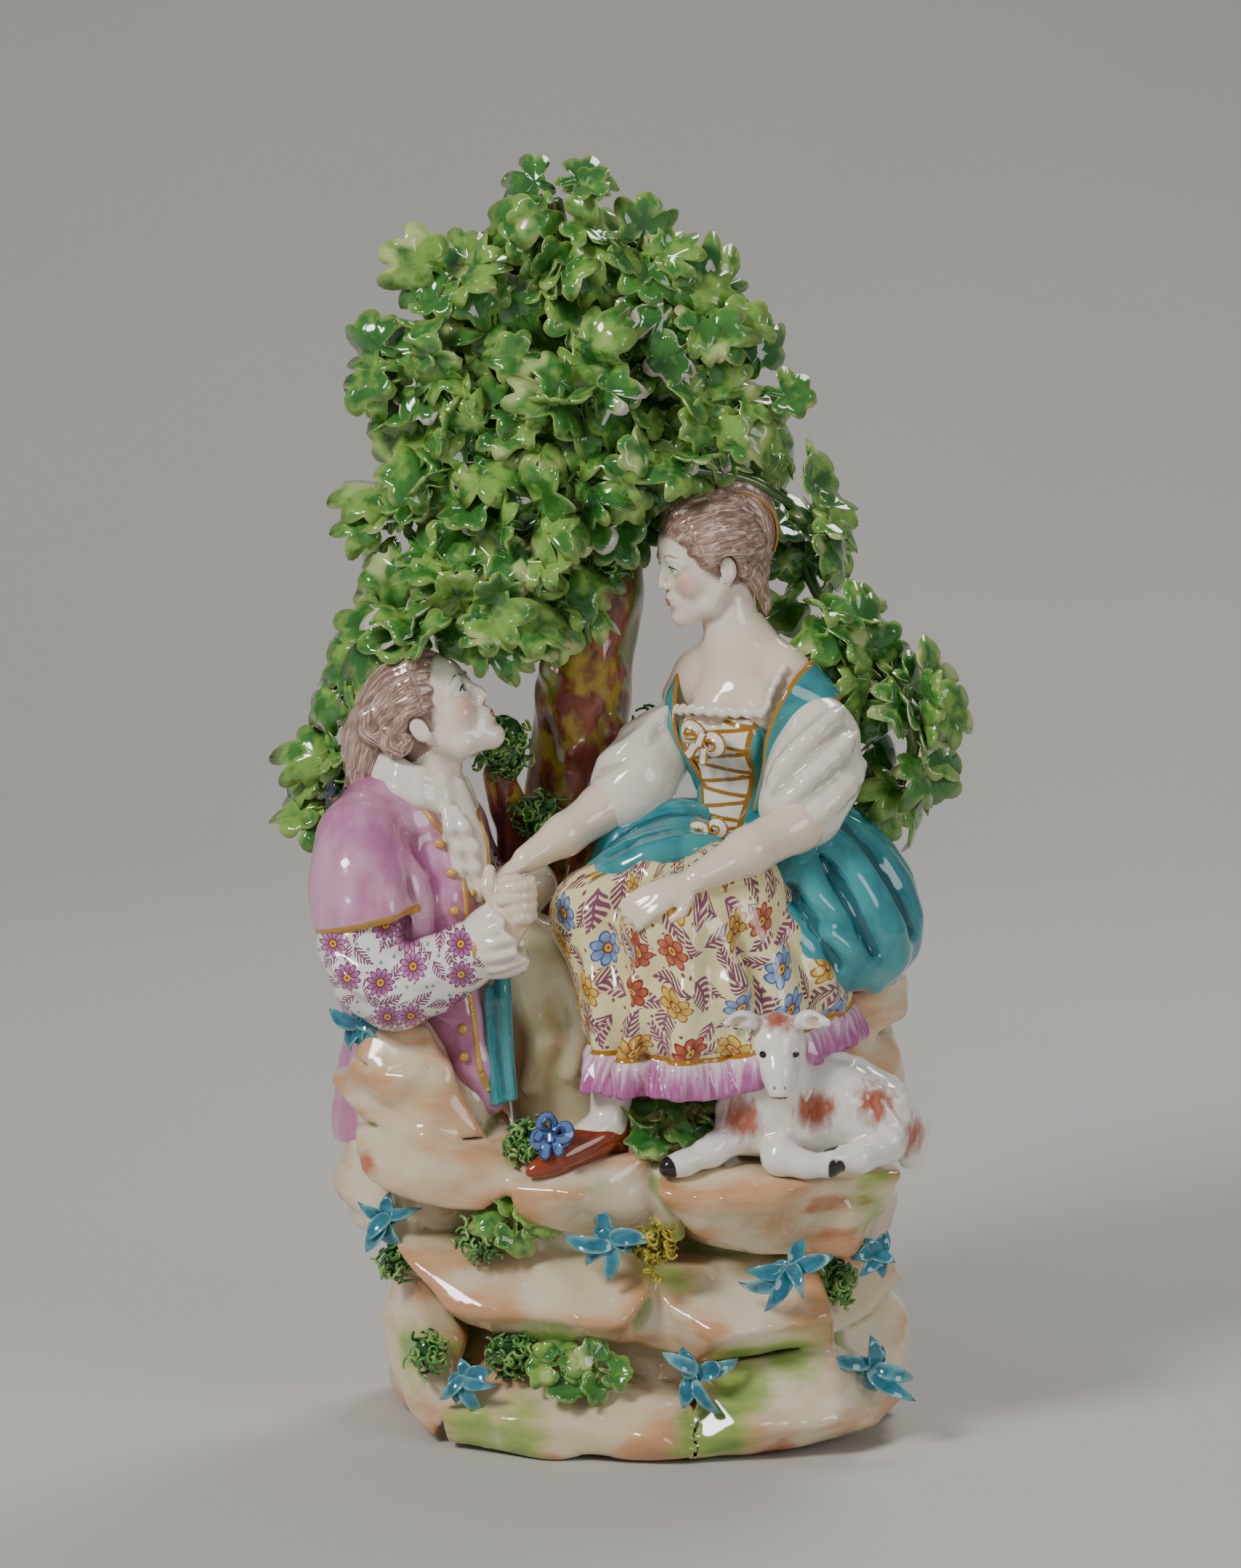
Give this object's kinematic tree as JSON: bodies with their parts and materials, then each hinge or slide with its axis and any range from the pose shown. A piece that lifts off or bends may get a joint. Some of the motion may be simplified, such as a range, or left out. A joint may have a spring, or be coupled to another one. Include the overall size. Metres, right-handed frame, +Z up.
{
  "type": "porcelain figure group",
  "caption": "Glazed porcelain figure group: a kneeling shepherd and a seated shepherdess hold hands under a leafy tree on a rock base with a lamb.",
  "frame": {"origin": "middle of the flat underside, on the surface the group stands on", "axes": "+Z up through the tree, -Y towards the viewer of the figures, +X to that viewer's right"},
  "size_m": [0.2036, 0.127, 0.3778],
  "materials": {
    "porcelain": "glossy clear glaze over painted enamel colours"
  },
  "bodies": {
    "root": {"porcelain_group": "porcelain"}
  },
  "joints": []
}
